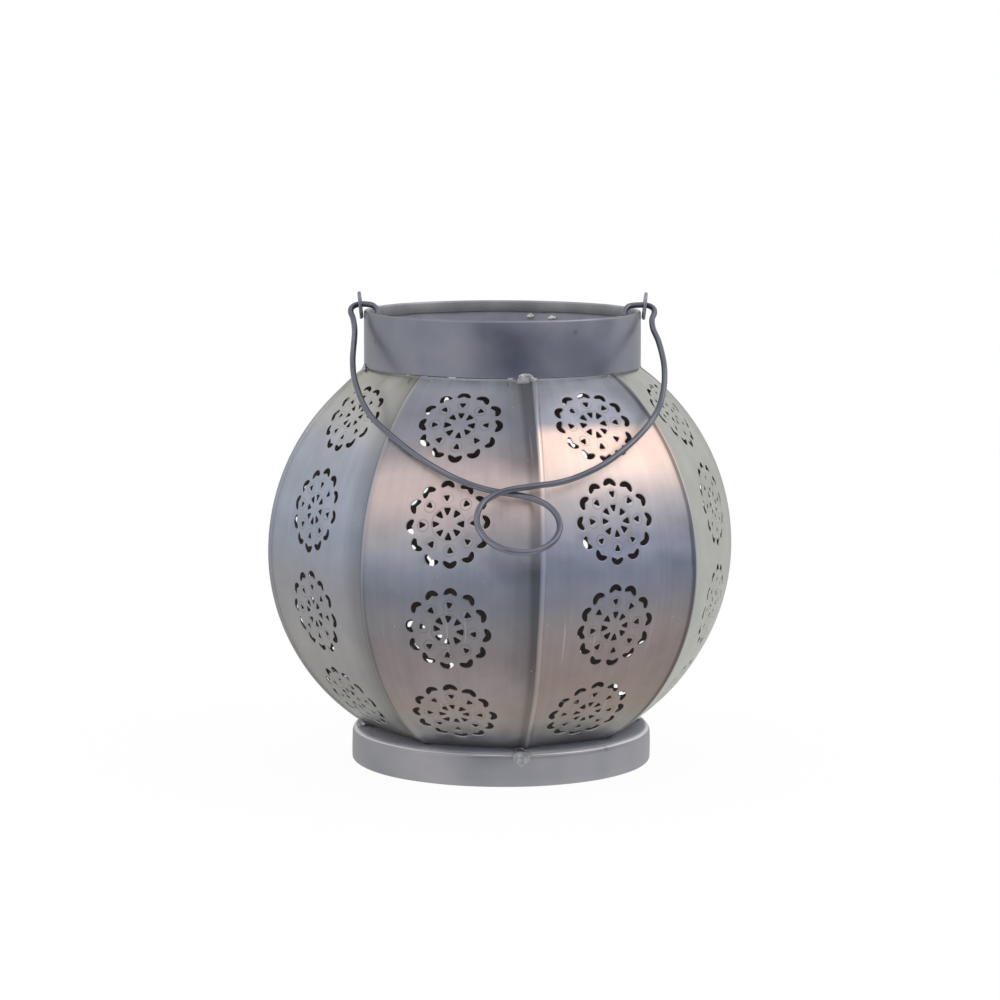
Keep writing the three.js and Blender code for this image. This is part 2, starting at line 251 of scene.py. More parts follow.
# Marks on the tinted sheet: sizes in mm, or (across, along) the gore, then how strongly they show
sheetMarks = {
    "streak": (3, 70), "nick": (5, 9), "scratch": (1.5, 45), "blotch": 14, "grain": 1.6,
    # from bandWidth on: painted shade along the joints, then the levels of painted highlight and painted
    # darkening
    "bandWidth": 17, "jointLine": (0.3, 2.6), "lineLevel": 0.68, "highlightLevel": 0.25, "paintedDarkening": 0.7,
    "scribe": (0.05, 0.32), "scribeDepth": 1.5, "bright": "#d8d6d4",
}


def tintBands(add, reach, bands):
    low, high = tints["low"], tints["high"]
    share = add("MapRange", [reach, low, high])
    return add("ValToRGB", [share], [((at - low) / (high - low), colour) for at, colour in bands])


def tintedIronWithPaintedReflections():
    # Rolled iron sheet, bare, drawn through heat: a satin skin with soft bands of blue, straw and brown
    # that wander a little, partly heat tint and partly painted reflections and highlights, faint rolling
    # streaks, scribed rings round the punched holes, small scratches.
    material, add = newMaterial("rolled_iron_heat_tint_and_painted_reflections")
    names = ("sheetPlace", "sheetLook", "sheetEdge", "rosettePlace")
    vectors = [add("Attribute", attribute_name=name).outputs["Vector"] for name in names]
    axes, look, edge, spot = [add("SeparateXYZ", [vector]).outputs for vector in vectors]
    place = vectors[0]
    stretched = {}
    for mark in ("streak", "nick", "scratch"):
        across, along = sheetMarks[mark]
        stretched[mark] = add("VectorMath", [place, (1 / across, 1 / along, 1)], operation="MULTIPLY")

    wander = add("TexNoise", {"Vector": place, "Scale": 1 / tints["wanderSize"], "Detail": 3})
    away = add("MapRange", [wander, 0, 1, -tints["wander"] / 2, tints["wander"] / 2])
    reach = add("Math", [axes[1], away], operation="ADD")
    # the bands are partly painted reflections; the front right's warm band is a painted highlight
    tint, warm, side = [tintBands(add, reach, tints[run]) for run in ("front", "warm", "side")]
    beyond = add("Math", [look[0], 1], operation="SUBTRACT")
    for share, other in ((look[1], warm), (look[0], side), (beyond, linear(tints["pale"]))):
        tint = add("Mix", {0: share, 6: tint, 7: other}, data_type="RGBA").outputs[2]

    # painted shade darkens the sheet towards each joint and in a thin line along it; some seams carry a
    # painted highlight, their creases painted shade, and two seams and a gore's left edge painted darkening
    band = add("MapRange", [edge[0], 0, sheetMarks["bandWidth"], -1, 0])
    banded = add("Math", [band, edge[1], 1], operation="MULTIPLY_ADD")
    line = add("MapRange", [edge[0], *sheetMarks["jointLine"], sheetMarks["lineLevel"], 1])
    paintedHighlight = add("Math", [edge[2], sheetMarks["highlightLevel"], 1], operation="MULTIPLY_ADD")
    darkened = add("Math", [look[2], -sheetMarks["paintedDarkening"], 1], operation="MULTIPLY_ADD")

    # rolling streaks along the gore, and blotches
    streak = add("TexNoise", {"Vector": stretched["streak"], "Scale": 1, "Detail": 2})
    blotch = add("TexNoise", {"Vector": place, "Scale": 1 / sheetMarks["blotch"], "Detail": 4})
    level = add("MapRange", [streak, 0.25, 0.75, 0.95, 1.04])
    blotchLevel = add("MapRange", [blotch, 0.3, 0.7, 0.9, 1.09])

    # scribed circles: one inside the middle ring of holes, a small one round each hole of that ring
    scribed, drop = rosettes["scribed"], rosettes["drop"]
    half = rosettes["pitch"] / 2
    sector = math.pi / drop["count"]
    fromRow = add("Math", [spot[1], rosettes["rise"] + half], operation="SUBTRACT")
    upward = add("Math", [fromRow, half, -half], operation="WRAP")
    flat = add("CombineXYZ", [spot[0], upward])
    radius = add("VectorMath", [flat], operation="LENGTH").outputs[1]
    angle = add("Math", [spot[0], upward], operation="ARCTAN2")
    turned = add("Math", [angle, spot[2]], operation="SUBTRACT")
    folded = add("Math", [turned, sector, -sector], operation="WRAP")
    sides = []
    for turn in ("COSINE", "SINE"):
        share = add("Math", [folded], operation=turn)
        sides.append(add("Math", [radius, share], operation="MULTIPLY"))
    fromHole = add("CombineXYZ", sides)
    holeGap = add("VectorMath", [fromHole, (drop["middle"], 0, 0)], operation="DISTANCE").outputs[1]
    smallRing = add("Math", [holeGap, scribed["small"], scribed["smallLine"]], operation="COMPARE")
    bigRing = add("Math", [radius, scribed["big"], scribed["bigLine"]], operation="COMPARE")
    rings = add("Math", [smallRing, bigRing], operation="MAXIMUM")
    faint = add("MapRange", [blotch, 0.36, 0.6, *sheetMarks["scribe"]])
    scribe = add("Math", [rings, faint], operation="MULTIPLY")
    scribeLevel = add("Math", [scribe, -1, 1], operation="MULTIPLY_ADD")
    for share in (blotchLevel, banded, line, paintedHighlight, darkened, scribeLevel):
        level = add("Math", [level, share], operation="MULTIPLY")
    toned = add("VectorMath", {0: tint, 3: level}, operation="SCALE")

    # bright nicks up to 1 mm long, thinly spread, and thin scratches along the gore
    nick = add("TexVoronoi", {"Vector": stretched["nick"], "Scale": 1})
    nickShare = add("MapRange", [nick, 0.05, 0.02, 0, 0.55])
    scratch = add("TexNoise", {"Vector": stretched["scratch"], "Scale": 1, "Detail": 0})
    scratchShare = add("MapRange", [scratch, 0.78, 0.86, 0, 0.2])
    bright = add("Math", [nickShare, scratchShare], operation="MAXIMUM")
    colour = add("Mix", {0: bright, 6: toned, 7: linear(sheetMarks["bright"])}, data_type="RGBA")

    rough = add("MapRange", [blotch, 0.3, 0.7, gloss["sheet"] - 0.06, gloss["sheet"] + 0.07])
    # grain coarser than real, which would be too fine to see
    grain = add("TexNoise", {"Vector": place, "Scale": 1 / sheetMarks["grain"], "Detail": 3})
    height = add("Math", [scribe, -sheetMarks["scribeDepth"], grain], operation="MULTIPLY_ADD")
    bump = add("Bump", {"Strength": 0.12, "Distance": 0.0002, "Height": height})
    closeMaterial(add, Base_Color=colour.outputs[2], Metallic=0.85, Roughness=rough,
                  Specular_Tint=linear(gloss["edgeTint"]), Normal=bump)
    return material


# Plain iron: sizes of its marks in mm, then the levels of its painted light on the left and right, a span
# from the middle
plainIron = {
    "cloud": 30, "stain": 26, "grain": 1.6, "paintedLightSpan": 70, "paintedLightLevels": (0.92, 1.13),
    "stops": (0.3, 0.5, 0.7),
}


def clouds(add, stops, size, detail):
    # soft clouds of a size in mm, as noise and as colours
    at = add("TexCoord").outputs["Object"]
    cloud = add("TexNoise", {"Vector": at, "Scale": 1 / mm / size, "Detail": detail})
    return at, cloud, add("ValToRGB", [cloud], stops)


def greyRolledIron(name, shades, roughness, metal=0.9):
    # Plain rolled iron sheet, bare: a satin grey with a cool cast, cloudy marks and small dark stains.
    # Painted light makes it paler towards the lantern's right, as it looks in the photograph.
    material, add = newMaterial(name)
    stops = zip(plainIron["stops"], shades)
    at, cloud, colour = clouds(add, stops, plainIron["cloud"], detail=4)
    speck = add("TexVoronoi", {"Vector": at, "Scale": 1 / mm / plainIron["stain"]})
    stain = add("MapRange", [speck, 0.02, 0.075, 0.72, 1.0])
    # painted light: paler towards the lantern's right
    across = add("SeparateXYZ", [at])
    span = plainIron["paintedLightSpan"] * mm
    paintedLight = add("MapRange", [across, -span, span, *plainIron["paintedLightLevels"]])
    level = add("Math", [stain, paintedLight], operation="MULTIPLY")
    stained = add("VectorMath", {0: colour, 3: level}, operation="SCALE")
    rough = add("MapRange", [cloud, 0.3, 0.7, roughness - 0.06, roughness + 0.06])
    # grain coarser than real, which would be too fine to see
    grain = add("TexNoise", {"Vector": at, "Scale": 1 / mm / plainIron["grain"], "Detail": 3})
    bump = add("Bump", {"Strength": 0.1, "Distance": 0.0002, "Height": grain})
    closeMaterial(add, Base_Color=stained, Metallic=metal, Roughness=rough,
                  Specular_Tint=linear(gloss["edgeTint"]), Normal=bump)
    return material


def dullMetal(name, stops, size, detail, bumps=0, **sockets):
    # Metal left dull: soft clouds of a size in mm, which stand up a little where it has bumps.
    material, add = newMaterial(name)
    _, cloud, colour = clouds(add, stops, size, detail)
    if bumps:
        sockets["Normal"] = add("Bump", {"Strength": bumps, "Distance": 0.0003, "Height": cloud})
    closeMaterial(add, Base_Color=colour, **sockets)
    return material


def millIron(name, shades):
    # The inner side of the collar, as it came from the mill: dull, with soft grey clouds.
    stops = zip(plainIron["stops"], shades)
    return dullMetal(name, stops, size=16, detail=4, bumps=0.1, Metallic=0.6, Roughness=0.5)


def darkIronInside():
    # The inner face of the gores and seams, and the base's floor inside the globe: dark, dull and slightly
    # brown, partly from the rolling scale left on and partly painted shade of the globe's inside.
    stops = [(0.3, "#59514e"), (0.55, "#69605c"), (0.75, "#7a706b")]
    return dullMetal("rolled_iron_scale_and_painted_shade_inside", stops, size=9, detail=5, bumps=0.2, Metallic=0.3,
                     Roughness=0.8)


def tinSolder():
    # Soft solder spots in the collar: almost white, dull and smooth.
    stops = [(0.35, "#cfcfd6"), (0.65, "#e6e6ea")]
    return dullMetal("tin_solder_dull", stops, size=2, detail=2, Metallic=0.5, Roughness=0.5)


def weldedIron():
    # Weld metal left as it ran: close to the sheet's grey, dull, with a thin whitish crust in spots.
    material, add = newMaterial("iron_weld_as_run")
    stops = [(0.3, "#8b8c91"), (0.5, "#9c9ca1"), (0.62, "#b2b2b4"), (0.72, "#e2e2e3")]
    _, crust, colour = clouds(add, stops, size=3, detail=3)
    metal = add("MapRange", [crust, 0.45, 0.7, 0.9, 0.5])
    bump = add("Bump", {"Strength": 0.15, "Distance": 0.0003, "Height": crust})
    closeMaterial(add, Base_Color=colour, Metallic=metal, Roughness=gloss["weld"], Normal=bump)
    return material


def drawnIronWire():
    # Drawn iron wire, bare: dull cool grey with fine lines along the draw, some of them darker.
    material, add = newMaterial("iron_wire_drawn")
    place = add("Attribute", attribute_name="wirePlace").outputs["Vector"]
    # sizes of the lines in mm, coarser than real, which would be too fine to see
    length, width = 14, 0.7
    stretched = add("VectorMath", [place, (1 / length, 1 / width, 1 / width)], operation="MULTIPLY")
    lines = add("TexNoise", {"Vector": stretched, "Scale": 1, "Detail": 3})
    colour = add("ValToRGB", [lines], [(0.3, "#5b5f68"), (0.5, "#6c6f79"), (0.72, "#858691")])
    rough = add("MapRange", [lines, 0.3, 0.7, gloss["wire"] - 0.05, gloss["wire"] + 0.08])
    bump = add("Bump", {"Strength": 0.15, "Distance": 0.0002, "Height": lines})
    closeMaterial(add, Base_Color=colour, Metallic=1.0, Roughness=rough, Normal=bump)
    return material


tintedSheet = tintedIronWithPaintedReflections()
collarSheet = greyRolledIron("rolled_iron_blue_grey", ("#767986", "#82848f", "#8e8f98"), gloss["collar"])
baseSheet = greyRolledIron("rolled_iron_pale_grey", ("#8c8d93", "#96969c", "#a29fa3"), gloss["base"])
# a paler copy of the grey iron, for the painted highlight along the base's rounded top edge
highlitEdge = greyRolledIron("rolled_iron_painted_highlight_edge", ("#c9c8d0", "#d2d1d6", "#dbd9dc"), gloss["base"])
ringSheet = greyRolledIron("rolled_iron_dull_flat", ("#9b9da9", "#a5a6b1", "#afafb9"), 0.6, 0.3)
innerSheet = darkIronInside()
millSheet = millIron("rolled_iron_mill_finish", ("#a3a5b1", "#b0b2be", "#bdbdc8"))
hemSheet = millIron("rolled_iron_mill_dark", ("#8a8b91", "#999aa0", "#a9a9af"))
wireMetal = drawnIronWire()
weldMetal = weldedIron()
solderMetal = tinSolder()
print("materials made")


# The globe's side: two arcs that meet upright at the equator, as sizes in mm

baseLow, baseHigh = [Vector(corner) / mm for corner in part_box("base_pan")]
collarLow, collarHigh = [Vector(corner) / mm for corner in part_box("collar")]
goreLow, goreHigh = [Vector(corner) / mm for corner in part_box("gore_panel_1")]

globe = {
    "equatorRadius": 110.6, "equatorHeight": 84.1, "neckInset": 1.6, "footInset": 8, "neckRounding": 30,
    "sheet": 0.6, "gores": 8, "firstSeam": 7.4, "lastSeamSlip": 3.4, "underLap": 1.4,
}
neckHeight = goreHigh.z
footHeight = goreLow.z
neckRadius = collarHigh.x - globe["neckInset"]
footRadius = baseHigh.x - globe["footInset"]


def arcThrough(endRadius, rise):
    inset = globe["equatorRadius"] - endRadius
    return (inset * inset + rise * rise) / (2 * inset)


upperRise = neckHeight - globe["equatorHeight"]
lowerRise = globe["equatorHeight"] - footHeight
upperArc = arcThrough(neckRadius, upperRise)
lowerArc = arcThrough(footRadius, lowerRise)
neckReach = upperArc * math.asin(upperRise / upperArc)
footReach = -lowerArc * math.asin(lowerRise / lowerArc)

seamAngles = [math.radians(globe["firstSeam"] + 360 / globe["gores"] * i) for i in range(globe["gores"])]
seamAngles[-1] += math.radians(globe["lastSeamSlip"])
goreSpans = [((left + right) / 2, (right - left) / 2)
             for left, right in zip(seamAngles, seamAngles[1:] + [seamAngles[0] + 2 * math.pi])]


def sidePoint(reach):
    # radius, height and slope of the side at a distance along it from the equator
    arc = upperArc if reach > 0 else lowerArc
    slope = reach / arc
    radius = globe["equatorRadius"] - arc + arc * math.cos(slope)
    return radius, globe["equatorHeight"] + arc * math.sin(slope), slope


def turnTo(azimuth, x, outward, z):
    # from a front-facing piece to its place round the axis; azimuth runs from the front to the right
    c, s = math.cos(azimuth), math.sin(azimuth)
    return (x * c + outward * s, x * s - outward * c, z)


# Gores: sheets bent along the side and a little crowned, pierced with four rosettes each

goreLook = {
    "gridStep": 4.0, "edgeStep": 2.0, "columns": 24, "margin": 0.5, "holeMargin": 0.7,
    "wobble": 0.35, "wobbleSize": 42, "crown": 2.6, "seed": 40,
    # pale: the front's tints (0), the sides' (1) or pale (2), all partly painted reflections
    "pale": [0.0, 2.0, 1.2, 0.6, 0.6, 0.6, 1.0, 0.0],  # 0 has the front's tints, 1 the sides', 2 is pale
    # warm: share of the front right's tints, which hold a painted highlight
    "warm": [1.0, 1.0, 0.5, 0.0, 0.0, 0.0, 0.0, 0.0],  # share of the front right's tints
    # band and shade: painted shade, darkening towards the seam at a gore's right and at its left
    "band": [0.1, 0.15, 0.2, 0.2, 0.2, 0.2, 0.42, 0.38],  # darkening towards the seam at its right
    "bandDips": {8: [(29, 26, 1.0), (-78, 44, 0.5)]},  # by gore, where it lessens: middle, half length, share
    "shade": [0, 0, 0, 0, 0, 0, 0, 0.12], "shadeWidth": 32,  # darkening towards the seam at its left
}


def jointBand(number, reach):
    band = goreLook["band"][number - 1]
    for middle, half, share in goreLook["bandDips"].get(number, ()):
        band *= 1 - share * (1 - smoothstep(0.5, 1, abs(reach - middle) / half))
    return band


def petalOutline():
    # a crescent with round ends and a notch towards the rosette's middle, running anticlockwise
    size = rosettes["petal"]
    back, end, sweep = size["back"], size["end"], size["sweep"]
    low = size["tip"] - back
    notch = size["tip"] - size["band"]
    right, left = [arcPoints((0, low), back - end, 90 + turn, 90, 1)[0] for turn in (-sweep, sweep)]
    run = arcPoints((0, low), back, 90 - sweep, 90 + sweep, 9)
    run += arcPoints(left, end, 90 + sweep, 270 + size["endTurn"], 4)[1:]
    wide, deep = size["notch"]
    run += [(-wide, notch - deep), (0, notch), (wide, notch - deep)]
    return run + arcPoints(right, end, 270 - size["endTurn"], 450 - sweep, 4)[:-1]


def dropOutline(size):
    # a three-cornered hole with round corners, its point towards the rosette's middle
    near = size["middle"] - size["depth"] / 2
    far = size["middle"] + size["depth"] / 2
    r = size["corner"]
    wide = size["width"] / 2 - r
    lean = math.degrees(math.atan2(wide, far - near - 2 * r))
    run = arcPoints((0, near + r), r, 180 + lean, 360 - lean, 3)
    run += arcPoints((wide, far - r), r, -lean, 90, 3)
    return run + arcPoints((-wide, far - r), r, 90, 180 + lean, 3)


def movedOut(outline, by):
    # the outline set off outwards by a distance, along the mean normal at each point
    moved = []
    count = len(outline)
    for i, (x, y) in enumerate(outline):
        before, after = outline[i - 1], outline[(i + 1) % count]
        run = Vector((after[0] - before[0], after[1] - before[1])).normalized()
        moved.append((x + run.y * by, y - run.x * by))
    return moved


def rosetteHoles(gore, draw):
    # each hole's turned and shifted outline in the gore's flat sheet, and each rosette's place and turn
    holes = []
    turns = []
    slack = rosettes["placeSlack"]
    outlines = [(rosettes["petal"], petalOutline())]
    outlines += [(rosettes[kind], dropOutline(rosettes[kind])) for kind in ("drop", "wedge")]
    for number in range(rosettes["count"]):
        reach = rosettes["rise"] + (number - (rosettes["count"] - 1) / 2) * rosettes["pitch"]
        turn = math.radians(draw.uniform(-1, 1) * rosettes["turnSlack"])
        slipAcross, slipUp = rosettes["slips"].get((gore, number), (0, 0))
        turns.append((reach, slipAcross, slipUp, turn))
        for size, outline in outlines:
            middle = size["middle"]
            for k in range(size["count"]):
                angle = turn + 2 * math.pi * k / size["count"]
                own = math.radians(draw.uniform(-1, 1) * rosettes["holeTurn"])
                dx, dy = draw.uniform(-slack, slack), draw.uniform(-slack, slack)
                grow = draw.uniform(*rosettes["grow"])
                run = []
                for x, y in outline:
                    u, v = x * grow, (y - middle) * grow
                    u, v = u * math.cos(own) + v * math.sin(own), v * math.cos(own) - u * math.sin(own)
                    v += middle
                    run.append((u * math.cos(angle) + v * math.sin(angle) + dx + slipAcross,
                                reach + v * math.cos(angle) - u * math.sin(angle) + dy + slipUp))
                holes.append(run)
    return holes, turns


def roundTheGlobe(angle):
    # mm along the equator from the front, to the right or (negative) to the left
    return ((angle + math.pi) % (2 * math.pi) - math.pi) * globe["equatorRadius"]


def gorePoint(half, number, x, reach, depth):
    radius, height, slope = sidePoint(reach)
    share = x / (radius * math.sin(half))
    turn = share * half
    rounding = smoothstep(neckReach - globe["neckRounding"], neckReach, reach)
    end = neckReach if reach > 0 else footReach
    inward = max(0, 1 - share ** 2)
    depth -= goreLook["crown"] * inward * (1 - (reach / end) ** 2)
    uneven = wave(goreLook["wobbleSize"], x, reach, 300.0 * number)
    depth -= goreLook["wobble"] * inward * (1 - rounding) * uneven
    side = lerp(x, radius * math.sin(turn), rounding)
    outward = lerp(radius * math.cos(half), radius * math.cos(turn), rounding)
    return side, outward - depth * math.cos(slope), height - depth * math.sin(slope)


def makeGore(number, azimuth, half):
    draw = random.Random(goreLook["seed"] + number)
    holes, turns = rosetteHoles(number, draw)

    def edge(reach):
        return sidePoint(reach)[0] * math.sin(half) - globe["underLap"] / math.cos(half)

    rows = round((neckReach - footReach) / goreLook["edgeStep"])
    reaches = [lerp(footReach, neckReach, i / rows) for i in range(rows + 1)]
    columns = goreLook["columns"]
    border = [(lerp(-1, 1, i / columns) * edge(footReach), footReach) for i in range(columns)]
    border += [(edge(reach), reach) for reach in reaches[:-1]]
    border += [(lerp(1, -1, i / columns) * edge(neckReach), neckReach) for i in range(columns)]
    border += [(-edge(reach), reach) for reach in reversed(reaches[1:])]

    flat = list(border)
    loops = [list(range(len(border)))]
    middles = []
    for run in holes:
        ring = movedOut(run, rosettes["support"])
        loops.append(list(range(len(flat), len(flat) + len(ring))))
        flat += ring
        cx, cy = sum(p[0] for p in ring) / len(ring), sum(p[1] for p in ring) / len(ring)
        size = max(math.hypot(x - cx, y - cy) for x, y in ring)
        middles.append((cx, cy, size + goreLook["holeMargin"]))
    # a row of points close to the border keeps the sheet straight up to its edge
    margin = goreLook["margin"]
    for reach in (footReach + margin, neckReach - margin):
        flat += [(lerp(-1, 1, i / columns) * edge(reach), reach) for i in range(1, columns)]
    for side in (-1, 1):
        flat += [(side * (edge(reach) - margin), reach) for reach in reaches[1:-1]]
    step = goreLook["gridStep"]
    for row in range(1, int((neckReach - footReach) / step)):
        reach = footReach + row * step
        across = int(edge(reach) / step) + 1
        for column in range(-across, across + 1):
            x = (column + 0.5 * (row % 2)) * step
            clear = all(math.hypot(x - cx, reach - cy) > r for cx, cy, r in middles)
            if clear and abs(x) < edge(reach) - step / 2 and reach < neckReach - step / 2:
                flat.append((x, reach))

    corners, _, triangles, sources, _, owners = delaunay_2d_cdt(
        [Vector(p) for p in flat], [], loops, 1, 1e-5)
    where = {source: i for i, found in enumerate(sources) for source in found}
    kept = [t for t, owner in zip(triangles, owners) if owner == [0]]

    sheet = globe["sheet"]
    count = len(corners)
    points = []
    marks = []

    def addPoint(x, reach, depth):
        points.append(turnTo(azimuth, *gorePoint(half, number, x, reach, depth)))
        marks.append((x, reach))

    for depth in (0, sheet):
        for corner in corners:
            addPoint(corner.x, corner.y, depth)
    faces = [list(t) for t in kept]
    inside = {i: 1 for i in range(len(faces), 2 * len(faces))}
    faces += [[count + i for i in reversed(t)] for t in kept]
    ring = [where[i] for i in loops[0]]
    faces += ringFaces(ring, [i + count for i in ring])
    for run, loop in zip(holes, loops[1:]):
        bands = [[where[i] for i in loop]]
        for offset, depth in rosettes["lip"] + [(rosettes["burr"], sheet)]:
            bands.append(range(len(points), len(points) + len(run)))
            for x, reach in movedOut(run, offset):
                addPoint(x, reach, depth)
        bands.append([where[i] + count for i in loop])
        for low, high in zip(bands, bands[1:]):
            faces += ringFaces(low, high)

    piece = meshPiece(f"gore_sheet_{number}", points, faces, [tintedSheet, innerSheet], inside)
    middle = roundTheGlobe(azimuth)
    width = half * globe["equatorRadius"]
    pale, warm, shade = [goreLook[look][number - 1] for look in ("pale", "warm", "shade")]
    places = []
    looks = []
    edges = []
    spots = []
    for x, reach in marks:
        limit = sidePoint(reach)[0] * math.sin(half)
        places.append((middle + x / limit * width, reach, 0))
        # painted shade towards the seam at the gore's left
        looks.append((pale, warm, shade * (1 - smoothstep(0, goreLook["shadeWidth"], limit + x))))
        # painted shade in a band towards the seam at the gore's right
        edges.append((limit - x, jointBand(number, reach), 0))
        _, across, up, turn = min(turns, key=lambda t: abs(reach - t[0]))
        spots.append((x - across, reach - up, turn))
    giveAttributes(piece, sheetPlace=places, sheetLook=looks, sheetEdge=edges, rosettePlace=spots)
    standFor(piece, "lantern", "globe_sheet", f"gore_panel_{number}")


for i, (azimuth, half) in enumerate(goreSpans):
    makeGore(i + 1, azimuth, half)
print("gores made")


# Seams of three kinds: a lap, where a gore's right edge is bent round and hammered down over the next gore, a
# low ridge and a crease. A section is (across from the seam, height above the gores) in mm. Between the ends
# of the dark, highlighted and change ranges the seam carries a strip of painted shade, a painted highlight
# (low and high along it, or painted shade where that is below 0) and goes over to the next gore's tint.

seamLeft = [(-6.5, -0.1), (-5, -0.03), (-4, -0.005), (-3, 0.015)]
seamRight = [(4.2, -0.005), (5.2, -0.03), (6.5, -0.1)]
seam = {
    "lap": {
        "section": [*seamLeft, (-2.2, 0.025), (-1.5, 0.03), (-0.75, -0.01), (0, -0.14), (0.5, 0.1),
                    (1.2, 0.36), (1.9, 0.55), (2.6, 0.66), (3.2, 0.69), (3.7, 0.6), (4.2, 0.44), (4.6, 0.26),
                    (4.9, 0.08), (5.2, -0.12), (5.5, -0.35)],
        "dark": (-0.5, 2.3), "deep": 0, "paintedHighlight": (2.8, 4.7), "highlightLevel": (1, 1), "change": (1.8, 3.6),
    },
    "ridge": {
        "section": [*seamLeft, (-2.2, 0.03), (-1.6, 0.05), (-1.1, 0.1), (-0.6, 0.17), (-0.2, 0.21),
                    (0.3, 0.21), (0.7, 0.17), (1.2, 0.1), (1.7, 0.05), (2.4, 0.03), (3.2, 0.015), *seamRight],
        "dark": (-2.0, -1.4), "deep": 0.3, "paintedHighlight": (-1.4, 0.8), "highlightLevel": (-1.3, -0.4), "change": (-1.6, 1.2),
    },
    "crease": {
        "section": [*seamLeft, (-2.2, 0.03), (-1.5, 0.03), (-0.9, -0.02), (-0.3, -0.12), (0.3, -0.1),
                    (0.9, 0.12), (1.6, 0.2), (2.4, 0.16), (3.2, 0.06), *seamRight],
        "dark": (-1.4, 1.0), "deep": 1.2, "paintedHighlight": (1.4, 2.5), "highlightLevel": (1, 1), "change": (2.2, 3.3),
    },
    "kinds": ["lap", "crease", "lap", "ridge", "lap", "ridge", "lap", "ridge"],
    "under": [(4, -0.8), (0.4, -0.8), (-0.4, -0.8), (-5, -0.8)],
    "steps": 90, "wander": 0.25, "wanderSize": 34, "swell": 0.1, "swellSize": 12,
    # a seam's painted highlight goes from low to high over the first range of reaches, and ends over the
    # second
    "highlightRise": (-22, 14), "highlightFade": (60, 95),  # reach over which rub goes from low to high, and ends
    "lean": {1: (-27, 0.02)}, "leanEdge": 1.2,  # by seam: from this reach up it widens rightwards, mm per mm
    # painted darkening of each seam: a painted dark reflection on the two seams at the sides
    "paintedDarkening": [0, 0, 0.8, 0, 0, 0, 0.4, 0], "paintedDarkeningEdge": (-2.6, -0.8),  # darkening of each seam
    "clear": 20,  # this far from a joint its band has ended
    "noRosette": (60, 0, 0),  # a place beyond all scribed circles
}


def makeSeam(number, leftHalf, rightHalf):
    azimuth = seamAngles[number - 1]
    leftGore = number - 1 or globe["gores"]
    kind = seam[seam["kinds"][number - 1]]
    paintedDarkening = seam["paintedDarkening"][number - 1]
    arc = roundTheGlobe(azimuth)
    leanFrom, lean = seam["lean"].get(number, (0, 0))
    rings = []
    places = []
    looks = []
    edges = []
    for i in range(seam["steps"] + 1):
        reach = lerp(footReach, neckReach, i / seam["steps"])
        radius = sidePoint(reach)[0]
        drift = seam["wander"] * wave(seam["wanderSize"], reach, 90.0 * number, 5)
        shift = max(0, reach - leanFrom) * lean
        grow = 1 + seam["swell"] * wave(seam["swellSize"], reach, 50.0 * number, 1)
        bright = lerp(*kind["highlightLevel"], smoothstep(*seam["highlightRise"], reach))
        bright *= 1 - smoothstep(*seam["highlightFade"], reach)
        ring = []
        for across, above in kind["section"] + seam["under"]:
            x = across + drift + shift * smoothstep(0, seam["leanEdge"], across)
            if x < 0:
                place = gorePoint(leftHalf, leftGore, radius * math.sin(leftHalf) + x, reach, -above * grow)
                ring.append(turnTo(azimuth - leftHalf, *place))
            else:
                place = gorePoint(rightHalf, number, x - radius * math.sin(rightHalf), reach, -above * grow)
                ring.append(turnTo(azimuth + rightHalf, *place))
            share = smoothstep(*kind["change"], across)
            pale, warm = [lerp(goreLook[look][leftGore - 1], goreLook[look][number - 1], share)
                          for look in ("pale", "warm")]
            places.append((arc + x * globe["equatorRadius"] / radius, reach, 0))
            # painted darkening of the seam, and the painted shade of the next gore's left edge
            shade = paintedDarkening * smoothstep(*seam["paintedDarkeningEdge"], across) + share * goreLook["shade"][number - 1]
            looks.append((pale, warm, shade))
            # the seam's dark strip is painted shade
            fromDark = -x
            if across > kind["dark"][1]:
                fromDark = seam["clear"]
            elif x > kind["dark"][0]:
                fromDark = 0
            # a painted highlight on the seam, and painted shade in its dark strip
            paintedHighlight = bright if kind["paintedHighlight"][0] < across < kind["paintedHighlight"][1] else 0
            if fromDark == 0:
                paintedHighlight = -kind["deep"]
            edges.append((fromDark, jointBand(leftGore, reach), paintedHighlight))
        rings.append(ring)
    shown = len(kind["section"]) - 1
    piece = sweptPiece(f"seam_{seam['kinds'][number - 1]}_{number}", rings, [tintedSheet, innerSheet],
                       range(shown, len(rings[0])))
    spots = [seam["noRosette"]] * len(places)
    giveAttributes(piece, sheetPlace=places, sheetLook=looks, sheetEdge=edges, rosettePlace=spots)
    standFor(piece, "lantern", "globe_sheet", f"seam_rib_{number}")


for i in range(globe["gores"]):
    makeSeam(i + 1, goreSpans[i - 1][1], goreSpans[i][1])
print("seams made")


# Collar: a rolled ring, its rim folded inwards, joined by a lap at the back

collar = {
    "sheet": 0.7, "hem": 5.5, "slit": 0.4, "steps": 192, "edge": 0.15, "edgeRow": 0.5,
    "bulge": 0.3, "bulgeSize": 26, "bulgeIn": 0.4, "bulgeFoot": 0.4, "hemRagged": 0.3, "raggedSize": 14,
    "waveRadius": 60, "foldGap": 0.02,
    "lap": {"angle": 162, "half": 4, "step": 0.5},
    "solder": [(167.5, -7.4), (158, -8)],  # degrees round from the front, height from the rim
}


